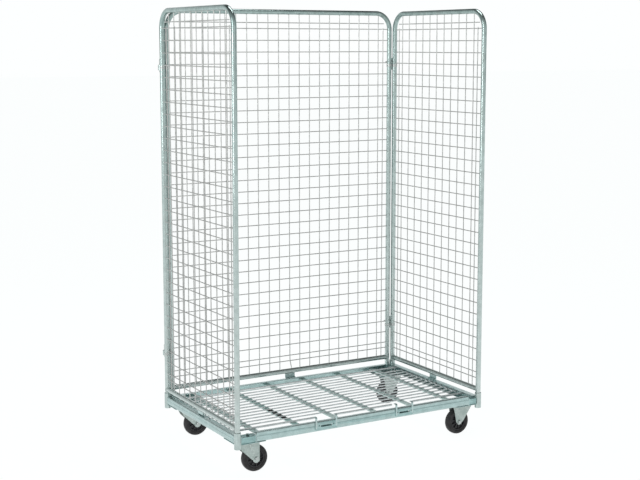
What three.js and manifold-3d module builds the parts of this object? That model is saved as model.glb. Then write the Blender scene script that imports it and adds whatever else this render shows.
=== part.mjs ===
// Roll cage container: a castor platform with a wire deck, and three tube-framed mesh panels
// (left, right and rear) that lift out of it. The long front side is open.
//
// Frame: millimetres, +Z up, floor at Z = 0, +X to the right along the open front, +Y to the rear.
// The origin is the centre of the footprint of the whole object.

import * as THREE from 'three';
import { mergeVertices } from 'three/addons/utils/BufferGeometryUtils.js';
import Module from 'manifold-3d';

const wasm = await Module();
wasm.setup();

// ---------- driving dimensions ----------

const GAP = 0.3;                    // clearance between pieces that touch

// panels
const tubeRadius = 10.65;           // 1/2 inch pipe
const tubeSides = 12;
const cornerRadius = 72;            // centreline of the bends at the top corners
const sidePlaneX = 572.5;           // left and right panel planes
const sideTubeY = 331.5;            // uprights of the side panels
const rearTubeX = 547.5;            // uprights of the rear panel
const rearPlaneY = 339;             // rear panel plane
const rearBottomZ = 201;            // centre of the rear panel's bottom tube
const rearTopZ = 1793;              // centre of its top tube
const sideDrop = 2;                 // the side panels sit this much lower than the rear one
const latticePitch = 155;           // target spacing of the stand-in mesh bars
const latticeBar = 6;               // square section with the same steel as the wires it stands for
const latticeEdge = 38;             // from a tube's centre to the first mesh bar

// platform
const railHalfLength = 581.5;       // outer faces of the side rails
const railHalfDepth = 341;          // outer faces of the front and rear rails
const sheet = 2.5;                  // sheet thickness of the rails
const railBottomZ = 138;
const railTopZ = 169;               // side and rear rails
const frontRailTopZ = 177;
const sideTopFlange = 30;
const sideBottomFlange = 34;
const rearTopFlange = 22;
const frontTopFlange = 20;
const endBottomFlange = 12;         // bottom flange of the front and rear rails
const rearSlotX = [52, 77];         // slot in the rear rail's top flange
const rearSlotY = [320, 328];
const sideSlotX = [558, 567];       // slots in the side rails' top flanges
const sideSlots = {                 // for each side rail: middle in Y, half length
  left_rail: [[21, 11], [-17, 11], [-55, 11]],
  right_rail: [[1, 18]],
};
const frontRailLeftX = -494;
const frontRailRightX = 516;
const barPitch = 183;               // flat cross bars, front to rear
const barCount = 6;
const barWidth = 28;
const barTopZ = 155.4;
const barThickness = 4.5;
const padY = [-185.5, -10.5];       // rubber pad let into the second cross bar
const padHalfWidth = 10.5;
const padDepth = 0.7;
const padSeatEase = 0.5;            // the seat is this much larger in X and Y
const padRecess = 0.05;             // the pad's face is this far below the bar's
const rodPitch = 37.9;              // thin deck rods, left to right
const rodCount = 12;
const firstRodY = -185;
const rodRadius = 3;
const rodHalfLength = 575;
const deckFlatBelow = [6, 2.2];     // bottom and top of the end flats, below the rods' middles
const deckFlatEnd = 6;              // they run this much past the outermost rods
const deckFlatX = [558, 568];       // flats that the rods end on, under the side rails' flanges
const edgeRodRadius = 4.5;
const edgeRodSpacing = 50;          // from the outermost thin rod to the edge rod
const edgeRodBreaks = [[-172, -77], [196, 300]];

// slot brackets on the face of the front rail: name, X of the middle, half width
const slotBrackets = [['slot_bracket_left', -185, 50], ['slot_bracket_right', 187, 43]];
const bracketSheet = 3;
const bracketBottomZ = 144;
const bracketSlotHalf = 26;
const bracketSlotZ = [155, 162];
const railSlotEase = 0.5;           // the slot behind it in the rail is this much larger all round
const earWidth = 8;
const earDepth = 16;
const earTopZ = 197;

// sockets for the legs of the side panels
const socketRadius = 13.5;
const socketBore = 11.2;
const socketBottomZ = 119;
const socketTopZ = 185;
const socketFloor = 3;

// corner brackets: plates under the rails, and upright webs at the front
const cornerInnerX = 452;
const cornerInnerY = 226;
const webTopZ = 163;
const webLap = 18;                  // a web reaches this far behind the front rail

// castors
const wheelRadius = 54;
const wheelWidth = 30;
const hubHalfWidth = 16.5;
const rimRadius = 36.4;
const boltHeadRadius = 9;
const boltEnds = 27;                // from the middle of the wheel to the ends of its axle
const castorY = 272;
const kingpinX = -507;
const trail = 36;                   // from the kingpin to the wheel's axle
const fixedWheelX = 505;
const fixedPlateX = 518;
const castorTopZ = 135;
const castorPlate = 3;
const castorPlateHalf = [52, 42];   // half its size in X and Y
const legInner = 18;                // half the clear width of a fork
const legSheet = 3;
const axleRadius = 6;
const axleBore = 6.3;
const kingpinRadius = 6;
const raceRadius = 30;
const raceHeight = 8;
const forkBack = 35;                // from the kingpin to the back edge of the fork
const forkFront = 14;               // from the axle to its front edge

// hooks that hold the rear panel to the side panels
const hookLevels = { upper: 1560, lower: 355 };
const eyeRadius = 9;
const eyeBore = 4.5;
const eyeHeight = 22;
const eyeWeb = 6;                   // thickness of the web that carries an eye
const hookRodRadius = 4;
const hookPinReach = 20;            // the pin runs this far above its arm and below the eye's middle
const hookY = rearPlaneY + tubeRadius + GAP + hookRodRadius;

// tabs that hang from the panels' bottom tubes and stand on the rails
const tabSheet = 3;
const tabFoot = 12;
const tabHalfWidth = 24;
const rearTabX = [2, 50];

// everything is placed so that the footprint is centred on the origin
const frontReach = sideTubeY + socketRadius;
const rearReach = hookY + eyeRadius;
const centreShiftY = (frontReach - rearReach) / 2;

// ---------- materials ----------

const zincTube = new THREE.MeshStandardMaterial({ color: 0xa9bab7, roughness: 0.38, metalness: 0.85 });
const zincWire = new THREE.MeshStandardMaterial({ color: 0x9c9a92, roughness: 0.45, metalness: 0.8 });
const zincSheet = new THREE.MeshStandardMaterial({ color: 0x9fb8b8, roughness: 0.42, metalness: 0.85 });
const forkSteel = new THREE.MeshStandardMaterial({ color: 0xa9aba2, roughness: 0.5, metalness: 0.8 });
const boltSteel = new THREE.MeshStandardMaterial({ color: 0x8d918e, roughness: 0.4, metalness: 0.9 });
const rubber = new THREE.MeshStandardMaterial({ color: 0x242326, roughness: 0.8, metalness: 0 });
const hubPlastic = new THREE.MeshStandardMaterial({ color: 0x35353a, roughness: 0.6, metalness: 0 });
const padRubber = new THREE.MeshStandardMaterial({ color: 0x1d211f, roughness: 0.85, metalness: 0 });

// ---------- helpers ----------

const object = new THREE.Group();
object.position.y = centreShiftY;

function add(name, geometry, material, parent = object) {
  const mesh = new THREE.Mesh(geometry, material);
  mesh.name = name;
  parent.add(mesh);
  return mesh;
}

// An empty group to hang pieces on, so that their shapes are drawn about its own origin.
function groupAt(x, y, z, parent = object) {
  const group = new THREE.Group();
  group.position.set(x, y, z);
  parent.add(group);
  return group;
}

function toSolid(geometry) {
  const plain = geometry.index ? geometry.toNonIndexed() : geometry.clone();
  plain.deleteAttribute('normal');
  plain.deleteAttribute('uv');
  const merged = mergeVertices(plain, 1e-4);
  return new wasm.Manifold(new wasm.Mesh({
    numProp: 3,
    vertProperties: Float32Array.from(merged.attributes.position.array),
    triVerts: Uint32Array.from(merged.index.array),
  }));
}

function fromSolid(solid) {
  const mesh = solid.getMesh();
  const geometry = new THREE.BufferGeometry();
  geometry.setAttribute('position', new THREE.BufferAttribute(Float32Array.from(mesh.vertProperties), 3));
  geometry.setIndex(new THREE.BufferAttribute(Uint32Array.from(mesh.triVerts), 1));
  geometry.computeVertexNormals();
  return geometry;
}

function join(geometries) {
  let solid = toSolid(geometries[0]);
  for (const geometry of geometries.slice(1)) {
    solid = solid.add(toSolid(geometry));
  }
  return fromSolid(solid);
}

function cut(geometry, tools) {
  let solid = toSolid(geometry);
  for (const tool of tools) {
    solid = solid.subtract(toSolid(tool));
  }
  return fromSolid(solid);
}

// A box between two corners.
function block(x0, x1, y0, y1, z0, z1) {
  const geometry = new THREE.BoxGeometry(Math.abs(x1 - x0), Math.abs(y1 - y0), Math.abs(z1 - z0));
  geometry.translate((x0 + x1) / 2, (y0 + y1) / 2, (z0 + z1) / 2);
  return geometry;
}

// A round bar centred on a point, along X, Y or Z.
function bar(axis, radius, length, sides, x, y, z) {
  const geometry = new THREE.CylinderGeometry(radius, radius, length, sides);
  if (axis === 'X') geometry.rotateZ(Math.PI / 2);
  if (axis === 'Z') geometry.rotateX(Math.PI / 2);
  geometry.translate(x, y, z);
  return geometry;
}

// A ring or disc turned about Z: points are [radius, z], closed on themselves.
function turned(points, sides) {
  const outline = points.map(([radius, z]) => new THREE.Vector2(radius, z));
  outline.push(outline[0].clone());
  const geometry = new THREE.LatheGeometry(outline, sides);
  geometry.rotateX(Math.PI / 2);
  return geometry;
}

function polygon(points) {
  return new THREE.Shape(points.map(([x, y]) => new THREE.Vector2(x, y)));
}

// A profile of [y, z] points pushed along X.
function alongX(points, x0, x1) {
  const geometry = new THREE.ExtrudeGeometry(polygon(points), { depth: x1 - x0, bevelEnabled: false });
  geometry.rotateY(Math.PI / 2);
  geometry.rotateX(Math.PI / 2);
  geometry.translate(x0, 0, 0);
  return geometry;
}

// A profile of [x, z] points pushed along Y.
function alongY(points, y0, y1) {
  const geometry = new THREE.ExtrudeGeometry(polygon(points), { depth: y1 - y0, bevelEnabled: false });
  geometry.rotateX(Math.PI / 2);
  geometry.translate(0, y1, 0);
  return geometry;
}

// A path whose sweep has one ring at each of its own points.
class PointPath extends THREE.Curve {
  constructor(points) {
    super();
    this.points = points;
  }

  index(u) {
    return Math.round(u * (this.points.length - 1));
  }

  getPoint(u) {
    return this.points[this.index(u)].clone();
  }

  getPointAt(u) {
    return this.getPoint(u);
  }

  getSpacedPoints() {
    return this.points.map((point) => point.clone());
  }

  getTangentAt(u) {
    const i = this.index(u);
    const before = this.points[Math.max(i - 1, 0)];
    const after = this.points[Math.min(i + 1, this.points.length - 1)];
    return after.clone().sub(before).normalize();
  }
}

// An upright arch of tube in the plane of the axis 'X' or 'Y': two legs and a top with round corners.
function arch(axis, halfSpan, plane, footZ, topZ) {
  const bendSteps = 4;
  const flat = [[-halfSpan, footZ]];
  for (const side of [-1, 1]) {
    for (let i = 0; i <= bendSteps; i += 1) {
      const turn = (Math.PI / 2) * (side < 0 ? i / bendSteps : 1 - i / bendSteps);
      const across = halfSpan - cornerRadius + cornerRadius * Math.cos(turn);
      flat.push([side * across, topZ - cornerRadius + cornerRadius * Math.sin(turn)]);
    }
  }
  flat.push([halfSpan, footZ]);
  const points = flat.map(([u, z]) => (
    axis === 'X' ? new THREE.Vector3(u, plane, z) : new THREE.Vector3(plane, u, z)));
  const section = new THREE.Shape();
  for (let i = 0; i < tubeSides; i += 1) {
    const angle = (2 * Math.PI * i) / tubeSides;
    const move = i === 0 ? 'moveTo' : 'lineTo';
    section[move](tubeRadius * Math.cos(angle), tubeRadius * Math.sin(angle));
  }
  return new THREE.ExtrudeGeometry(section, {
    steps: points.length - 1,
    extrudePath: new PointPath(points),
    bevelEnabled: false,
  });
}

// Crossed bars in the plane of the axis 'X' or 'Y', whose ends stop just short of the tubes around them.
// The bars next to an upright or to the top tube are short, because the corner there is round.
function lattice(axis, halfSpan, plane, bottomZ, topZ) {
  const reach = halfSpan - tubeRadius - GAP;
  const outer = halfSpan - latticeEdge;
  const lowest = bottomZ + latticeEdge;
  const highest = topZ - latticeEdge;
  const columns = Math.round((2 * outer) / latticePitch);
  const rows = Math.round((highest - lowest) / latticePitch);
  const half = latticeBar / 2;
  const strip = (u0, u1, z0, z1) => (axis === 'X'
    ? block(u0, u1, plane - half, plane + half, z0, z1)
    : block(plane - half, plane + half, u0, u1, z0, z1));
  const bars = [];
  for (let i = 0; i <= columns; i += 1) {
    const u = -outer + (2 * outer * i) / columns;
    const isOuter = i === 0 || i === columns;
    const end = isOuter ? highest + half : topZ - tubeRadius - GAP;
    bars.push(strip(u - half, u + half, bottomZ + tubeRadius + GAP, end));
  }
  for (let i = 0; i <= rows; i += 1) {
    const z = lowest + ((highest - lowest) * i) / rows;
    const end = i === rows ? outer + half : reach;
    bars.push(strip(-end, end, z - half, z + half));
  }
  return join(bars);
}

// ---------- platform ----------

function channel(outer, topZ, topFlange, bottomFlange) {
  const inner = (depth) => outer - Math.sign(outer) * depth;
  return [
    [outer, railBottomZ],
    [outer, topZ],
    [inner(topFlange), topZ],
    [inner(topFlange), topZ - sheet],
    [inner(sheet), topZ - sheet],
    [inner(sheet), railBottomZ + sheet],
    [inner(bottomFlange), railBottomZ + sheet],
    [inner(bottomFlange), railBottomZ],
  ];
}

// The slot of a slot bracket, widened all round by an ease.
function bracketSlot(x, ease, y0, y1) {
  const half = bracketSlotHalf + ease;
  return block(x - half, x + half, y0, y1, bracketSlotZ[0] - ease, bracketSlotZ[1] + ease);
}

const frontProfile = channel(-railHalfDepth, frontRailTopZ, frontTopFlange, endBottomFlange);
const railSlots = slotBrackets.map(([, x]) => (
  bracketSlot(x, railSlotEase, -railHalfDepth - 1, -railHalfDepth + sheet + 1)));
add('front_rail', cut(alongX(frontProfile, frontRailLeftX, frontRailRightX), railSlots), zincSheet);

const rearRailHalf = sidePlaneX - socketRadius - GAP;
const rearProfile = channel(railHalfDepth, railTopZ, rearTopFlange, endBottomFlange);
const rearSlot = block(...rearSlotX, ...rearSlotY, railTopZ - 2 * sheet, railTopZ + sheet);
add('rear_rail', cut(alongX(rearProfile, -rearRailHalf, rearRailHalf), [rearSlot]), zincSheet);

const sideRailHalf = sideTubeY - socketRadius - GAP;
for (const [name, side] of [['left_rail', -1], ['right_rail', 1]]) {
  const profile = channel(side * railHalfLength, railTopZ, sideTopFlange, sideBottomFlange);
  const [slotX0, slotX1] = sideSlotX.map((x) => side * x);
  const slots = sideSlots[name].map(([y, halfLength]) => (
    block(slotX0, slotX1, y - halfLength, y + halfLength, railTopZ - 2 * sheet, railTopZ + sheet)));
  add(name, cut(alongY(profile, -sideRailHalf, sideRailHalf), slots), zincSheet);
}

// The space of the pad, widened by an ease in X and Y, from a bottom to a top about the bar's upper face.
function padBlock(ease, bottom, top) {
  const half = padHalfWidth + ease;
  return block(-half, half, padY[0] - ease, padY[1] + ease, barTopZ + bottom, barTopZ + top);
}

for (let i = 0; i < barCount; i += 1) {
  const barGroup = groupAt((i - (barCount - 1) / 2) * barPitch, 0, 0);
  const half = barWidth / 2;
  const reach = railHalfDepth - sheet - GAP;
  let geometry = block(-half, half, -reach, reach, barTopZ - barThickness, barTopZ);
  if (i === 1) {
    geometry = cut(geometry, [padBlock(padSeatEase, -padDepth - GAP, 1)]);
    add('bar_pad', padBlock(0, -padDepth, -padRecess), padRubber, barGroup);
  }
  add(`cross_bar_${i + 1}`, geometry, zincSheet, barGroup);
}

const rodZ = barTopZ + GAP + rodRadius;
const lastRodY = firstRodY + (rodCount - 1) * rodPitch;
const deckPieces = [];
for (let i = 0; i < rodCount; i += 1) {
  deckPieces.push(bar('X', rodRadius, 2 * rodHalfLength, 6, 0, firstRodY + i * rodPitch, rodZ));
}
for (const side of [-1, 1]) {
  const [x0, x1] = deckFlatX.map((x) => side * x);
  const [z0, z1] = deckFlatBelow.map((below) => rodZ - below);
  deckPieces.push(block(x0, x1, firstRodY - deckFlatEnd, lastRodY + deckFlatEnd, z0, z1));
}
add('deck_rods', join(deckPieces), zincWire);

// the front edge rod is broken behind the two slot brackets, where straps and shelf hooks reach down
function addEdgeRod(name, x0, x1, y) {
  const z = barTopZ + GAP + edgeRodRadius;
  add(name, bar('X', edgeRodRadius, x1 - x0, 10, (x0 + x1) / 2, y, z), zincWire);
}

const [leftBreak, rightBreak] = edgeRodBreaks;
const frontEdgeY = firstRodY - edgeRodSpacing;
addEdgeRod('front_edge_rod_left', -rodHalfLength, leftBreak[0], frontEdgeY);
addEdgeRod('front_edge_rod_middle', leftBreak[1], rightBreak[0], frontEdgeY);
addEdgeRod('front_edge_rod_right', rightBreak[1], rodHalfLength, frontEdgeY);
addEdgeRod('rear_edge_rod', -rodHalfLength, rodHalfLength, lastRodY + edgeRodSpacing);

// slotted plates on the face of the front rail, each with an ear at both ends that bends back over it
for (const [name, x, halfWidth] of slotBrackets) {
  const frontY = -railHalfDepth - GAP;
  const faceY = frontY - bracketSheet;
  const bracket = [block(x - halfWidth, x + halfWidth, faceY, frontY, bracketBottomZ, frontRailTopZ - 2)];
  for (const side of [-1, 1]) {
    const outer = x + side * halfWidth;
    const inner = outer - side * earWidth;
    bracket.push(block(inner, outer, faceY, frontY, bracketBottomZ, earTopZ));
    bracket.push(block(inner, outer, faceY, faceY + earDepth, earTopZ - bracketSheet, earTopZ));
  }
  add(name, cut(join(bracket), [bracketSlot(x, 0, faceY - 1, frontY + 1)]), zincSheet);
}

const corners = [
  ['front_left', -1, -1],
  ['front_right', 1, -1],
  ['rear_left', -1, 1],
  ['rear_right', 1, 1],
];
for (const [place, sx, sy] of corners) {
  const socket = turned([
    [socketRadius, socketBottomZ],
    [socketRadius, socketTopZ],
    [socketBore, socketTopZ],
    [socketBore, socketBottomZ + socketFloor],
    [5, socketBottomZ + socketFloor],
    [5, socketBottomZ],
  ], 12);
  add(`socket_${place}`, socket, zincSheet).position.set(sx * sidePlaneX, sy * sideTubeY, 0);

  const plate = block(
    sx * cornerInnerX, sx * railHalfLength, sy * cornerInnerY, sy * railHalfDepth,
    castorTopZ + GAP, railBottomZ - GAP);
  const notch = bar('Z', socketRadius + GAP + 0.4, 90, 16, sx * sidePlaneX, sy * sideTubeY, castorTopZ);
  const corner = block(
    sx * sidePlaneX, sx * (railHalfLength + 5), sy * sideTubeY, sy * (railHalfDepth + 5),
    castorTopZ - 5, castorTopZ + 10);
  let bracket = plate;
  if (sy < 0) {
    // the front rail stops short of the sockets, and an upright web closes each corner behind its line
    const railEnd = sx < 0 ? frontRailLeftX : frontRailRightX;
    const webFront = -(railHalfDepth - sheet - GAP);
    const webBack = webFront + sheet;
    bracket = join([
      plate,
      block(railEnd + sx * GAP, sx * sidePlaneX, webFront, webBack, castorTopZ + GAP, webTopZ),
      block(railEnd - sx * webLap, sx * sidePlaneX, webFront, webBack, railBottomZ + sheet + GAP, webTopZ),
    ]);
  }
  add(`corner_bracket_${place}`, cut(bracket, [notch, corner]), zincSheet);
}

// ---------- castors ----------

// Each castor is drawn about the middle of its top plate, or about its kingpin, at floor level.

function topPlate() {
  const [halfX, halfY] = castorPlateHalf;
  return block(-halfX, halfX, -halfY, halfY, castorTopZ - castorPlate, castorTopZ);
}

// Both legs of a fork from one outline of [x, z] points, with the axle's holes.
function forkLegs(outline, axleX) {
  const outer = legInner + legSheet;
  const hole = bar('Y', axleBore, 4 * outer, 12, axleX, 0, wheelRadius);
  return [[-outer, -legInner], [legInner, outer]].map(([y0, y1]) => cut(alongY(outline, y0, y1), [hole]));
}

function addWheel(place, castor, axleX) {
  const half = wheelWidth / 2;
  const tyre = turned([
    [rimRadius + 0.6, -half + 2],
    [48, -half],
    [52, -half + 3],
    [wheelRadius, 0],
    [52, half - 3],
    [48, half],
    [rimRadius + 0.6, half - 2],
  ], 24);
  const hub = turned([
    [axleBore, -hubHalfWidth],
    [14, -hubHalfWidth],
    [14, -5],
    [33, -5],
    [rimRadius, -12],
    [rimRadius, 12],
    [33, 5],
    [14, 5],
    [14, hubHalfWidth],
    [axleBore, hubHalfWidth],
  ], 16);
  const shoulder = legInner + legSheet + GAP;
  const axle = turned([
    [0, -boltEnds],
    [boltHeadRadius, -boltEnds],
    [boltHeadRadius, -shoulder],
    [axleRadius, -shoulder],
    [axleRadius, shoulder],
    [boltHeadRadius, shoulder],
    [boltHeadRadius, boltEnds],
    [0, boltEnds],
  ], 12);
  const wheel = groupAt(axleX, 0, wheelRadius, castor);
  wheel.rotation.x = Math.PI / 2;
  add(`tyre_${place}`, tyre, rubber, wheel);
  add(`hub_${place}`, hub, hubPlastic, wheel);
  add(`axle_${place}`, axle, boltSteel, wheel);
}

for (const [place, side] of [['front_left', -1], ['rear_left', 1]]) {
  const castor = groupAt(kingpinX, side * castorY, 0);
  const raceTop = castorTopZ - castorPlate - GAP;
  const crownTop = raceTop - raceHeight - GAP;
  const crownBottom = crownTop - legSheet;

  const pin = bar('Z', kingpinRadius, 18, 12, 0, 0, castorTopZ - castorPlate - 8);
  const pinHead = bar('Z', 10, 4, 12, 0, 0, crownBottom - GAP - 2);
  add(`swivel_plate_${place}`, join([topPlate(), pin, pinHead]), forkSteel, castor);

  const raceBore = kingpinRadius + 1;
  const race = turned([
    [raceBore, crownTop + GAP],
    [raceRadius - 3, crownTop + GAP],
    [raceRadius, raceTop - 3],
    [raceRadius, raceTop],
    [raceBore, raceTop],
  ], 16);
  add(`swivel_race_${place}`, race, forkSteel, castor);

  const outline = [
    [-forkBack, crownTop],
    [-forkBack, 112],
    [-forkBack + 8, 95],
    [trail - forkFront, 44],
    [trail - 6, 38],
    [trail + 8, 38],
    [trail + forkFront, 44],
    [trail + forkFront, crownTop],
  ];
  const outer = legInner + legSheet;
  const crown = cut(
    block(-forkBack, trail + forkFront, -outer, outer, crownBottom, crownTop),
    [bar('Z', kingpinRadius + 0.4, 20, 12, 0, 0, crownTop)]);
  add(`swivel_fork_${place}`, join([crown, ...forkLegs(outline, trail)]), forkSteel, castor);
  addWheel(place, castor, trail);
}

for (const [place, side] of [['front_right', -1], ['rear_right', 1]]) {
  const castor = groupAt(fixedPlateX, side * castorY, 0);
  const axleX = fixedWheelX - fixedPlateX;
  const outline = [
    [-50, castorTopZ],
    [axleX - 16, 56],
    [axleX - 8, 43],
    [axleX + 8, 43],
    [axleX + 17, 50],
    [50, 118],
    [50, castorTopZ],
  ];
  add(`fixed_fork_${place}`, join([topPlate(), ...forkLegs(outline, axleX)]), forkSteel, castor);
  addWheel(place, castor, axleX);
}

// ---------- side panels ----------

// The bent sheet of a tab, in [across, z]: it hangs from a tube and turns inwards over a rail.
function tabOutline(tubeZ, inwards) {
  const top = tubeZ - tubeRadius - GAP;
  const half = tabSheet / 2;
  const foot = railTopZ + 1;
  return [
    [-inwards * half, top],
    [-inwards * half, foot],
    [inwards * tabFoot, foot],
    [inwards * tabFoot, foot + tabSheet],
    [inwards * half, foot + tabSheet],
    [inwards * half, top],
  ];
}

const legFootZ = socketBottomZ + socketFloor + GAP;
for (const [name, side] of [['left', -1], ['right', 1]]) {
  const panel = groupAt(side * sidePlaneX, 0, 0);
  const bottomZ = rearBottomZ - sideDrop;
  const topZ = rearTopZ - sideDrop;
  const pieces = [
    arch('Y', sideTubeY, 0, legFootZ, topZ),
    bar('Y', tubeRadius, 2 * sideTubeY, tubeSides, 0, 0, bottomZ),
  ];
  for (const level of Object.values(hookLevels)) {
    const eyeBottom = level - eyeHeight / 2;
    const eyeTop = level + eyeHeight / 2;
    const eye = turned([
      [eyeBore, eyeBottom],
      [eyeRadius, eyeBottom],
      [eyeRadius, eyeTop],
      [eyeBore, eyeTop],
    ], 12);
    eye.translate(0, hookY, 0);
    pieces.push(eye);
    const webEnd = hookY - eyeBore - 1.5;
    pieces.push(block(-eyeWeb / 2, eyeWeb / 2, sideTubeY + 8, webEnd, eyeBottom, eyeTop));
  }
  add(`${name}_panel_frame`, join(pieces), zincTube, panel);
  add(`${name}_panel_mesh`, lattice('Y', sideTubeY, 0, bottomZ, topZ), zincWire, panel);
  add(`${name}_panel_tab`, alongY(tabOutline(bottomZ, -side), -tabHalfWidth, tabHalfWidth), zincSheet, panel);
}

// ---------- rear panel ----------

const rearPanel = groupAt(0, rearPlaneY, 0);
add('rear_panel_frame', join([
  arch('X', rearTubeX, 0, railTopZ + GAP, rearTopZ),
  bar('X', tubeRadius, 2 * rearTubeX, tubeSides, 0, 0, rearBottomZ),
]), zincTube, rearPanel);
add('rear_panel_mesh', lattice('X', rearTubeX, 0, rearBottomZ, rearTopZ), zincWire, rearPanel);
add('rear_panel_tab', alongX(tabOutline(rearBottomZ, -1), ...rearTabX), zincSheet, rearPanel);

for (const [levelName, level] of Object.entries(hookLevels)) {
  for (const [sideName, side] of [['left', -1], ['right', 1]]) {
    const pinGroup = groupAt(side * sidePlaneX, hookY, level);
    const armZ = eyeHeight / 2 + GAP + hookRodRadius;
    const armLength = sidePlaneX - rearTubeX + 8;
    const top = armZ + hookPinReach;
    add(`hook_pin_${levelName}_${sideName}`, join([
      bar('X', hookRodRadius, armLength, 8, -side * armLength / 2, 0, armZ),
      bar('Z', hookRodRadius, top + hookPinReach, 8, 0, 0, (top - hookPinReach) / 2),
    ]), boltSteel, pinGroup);
  }
}

export default object;
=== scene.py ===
"""Looks of the roll cage container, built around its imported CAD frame.

Metres, +Z up, the floor at Z = 0. Places come from the boxes of the CAD nodes.
"""

import math

import bmesh
import bpy
from mathutils import Matrix, Vector, noise


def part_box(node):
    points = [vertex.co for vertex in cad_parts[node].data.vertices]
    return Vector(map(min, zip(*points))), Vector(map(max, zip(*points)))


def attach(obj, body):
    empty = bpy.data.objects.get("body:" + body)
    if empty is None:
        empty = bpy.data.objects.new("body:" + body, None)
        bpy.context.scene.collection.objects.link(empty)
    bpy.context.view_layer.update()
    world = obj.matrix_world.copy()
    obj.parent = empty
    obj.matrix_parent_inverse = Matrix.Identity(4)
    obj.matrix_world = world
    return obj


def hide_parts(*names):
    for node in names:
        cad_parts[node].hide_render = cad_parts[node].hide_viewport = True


MM = 0.001
GAP = 0.3 * MM  # the CAD pieces' clearance
CREASE = math.radians(32)  # edges sharper than this are not smoothed

# panels
TUBE_RADIUS = 10.65 * MM
TUBE_WALL = 2.3 * MM
TUBE_BORE_DEPTH = 40 * MM
CORNER_RADIUS = 72 * MM
WIRE_RADIUS = 2.0 * MM
WIRE_LIFT = 1.7 * MM  # of the wires' centres out of the mesh's middle plane, to both sides
WIRE_WANDER = 0.5 * MM
WIRE_RISE = 50 * MM  # between the level wires
WIRE_EDGE = 71 * MM  # from the top and bottom tubes to the first wire of the full mesh
WIRE_TAIL = 6 * MM  # past the last crossing, where a wire ends in the air
WIRE_BURIED = 3 * MM  # where a wire ends in a tube
REAR_WIRES, REAR_WIRE_PITCH = 20, 51.2 * MM
SIDE_WIRES, SIDE_WIRE_PITCH = 11, 53 * MM
KNOCK = 9 * MM  # of the rear panel's middle wire, at its foot
TAB_SHEET = 3 * MM
TAB_LIP = 10.5 * MM

# the rear panel's pins and the side panels' eyes
PIN_RADIUS = 4 * MM
PIN_ARM_DROP = 20 * MM  # from the pin's top to its arm
EYE_RISE = 20 * MM  # from the pin's foot to the middle of the eye
EYE_HALF_HEIGHT = 11 * MM
EYE_BORE, EYE_RADIUS = 4.5 * MM, 9 * MM
HOOK_BAND_HEIGHT = 13 * MM

# platform
RAIL_SHEET = 2.5 * MM
RAIL_BEND = 3 * MM
RAIL_SWAGE = 1.0 * MM
RAIL_BOTTOM_FLANGE = 12 * MM
FRONT_RAIL_LIP = 5 * MM
SLOT_ABOVE, SLOT_BELOW = 4 * MM, 6 * MM  # how far a cutter passes a rail's top
# slots: (place along the rail, length)
REAR_SLOTS = [(64 * MM, 25 * MM), (-150 * MM, 22 * MM), (-330 * MM, 22 * MM)]
SIDE_SLOTS = {
    "left_rail": [(21 * MM, 22 * MM), (-17 * MM, 22 * MM), (-55 * MM, 22 * MM)],
    "right_rail": [(1 * MM, 36 * MM)],
}
CROSS_BARS = range(1, 7)
PAD_BAR = 2  # the cross bar with the pad
DECK_RODS = 12
DECK_ROD_RADIUS = 3 * MM
DECK_FLAT_END = 6 * MM  # the flats under the rods' ends run this much past the outermost rods
DECK_FLAT_X = (558 * MM, 568 * MM)
BRACKET_SHEET = 3 * MM
BRACKET_FACE_HEIGHT = 31 * MM
BRACKET_SLOT_RISE = 14.5 * MM
BRACKET_EAR = 8 * MM
SOCKET_BORE = 11.2 * MM

# castors
FORK_SHEET = 3 * MM
FORK_HALF_INSIDE = 18 * MM
FORK_BEND = 5 * MM
CASTOR_PLATE = 3 * MM
CASTOR_PLATE_HALF = (52 * MM, 42 * MM)
CASTOR_BOLTS = (24, 31)  # millimetres from the plate's middle
NUT_ACROSS = 13 * MM
HUB_RIBS = 9

LEVELS = ("lower", "upper")
PLACES = {
    "front_left": (-1, -1),
    "front_right": (1, -1),
    "rear_left": (-1, 1),
    "rear_right": (1, 1),
}

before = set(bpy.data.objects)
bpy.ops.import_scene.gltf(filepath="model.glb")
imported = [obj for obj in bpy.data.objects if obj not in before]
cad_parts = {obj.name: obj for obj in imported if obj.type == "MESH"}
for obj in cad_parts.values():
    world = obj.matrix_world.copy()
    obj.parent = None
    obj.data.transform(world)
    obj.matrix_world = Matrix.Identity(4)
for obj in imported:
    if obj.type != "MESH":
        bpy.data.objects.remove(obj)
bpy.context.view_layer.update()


# ---------- points and outlines ----------


def box_centre(node):
    low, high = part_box(node)
    return (low + high) / 2


def turns(count):
    """Angles spaced evenly round a circle."""
    return [2 * math.pi * k / count for k in range(count)]


def spaced(start, end, steps):
    """Numbers from start to end, both included."""
    return [start + (end - start) * k / steps for k in range(steps + 1)]


def straight(start, end, steps):
    """Points from one place to another, both included."""
    return list(zip(*(spaced(a, b, steps) for a, b in zip(start, end))))


def along(axis, u, v, w):
    """A place from (u, v) across an axis and the distance w along it.

    (u, v) is (y, z) for the X axis, (x, z) for Y and (x, y) for Z.
    """
    return Vector({"X": (w, u, v), "Y": (u, w, v), "Z": (u, v, w)}[axis])


def arc(centre, radius, start, end, steps):
    """Points on an arc in the plane, angles in degrees, ends included."""
    return [
        (centre[0] + radius * math.cos(t), centre[1] + radius * math.sin(t))
        for t in map(math.radians, spaced(start, end, steps))
    ]


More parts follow.
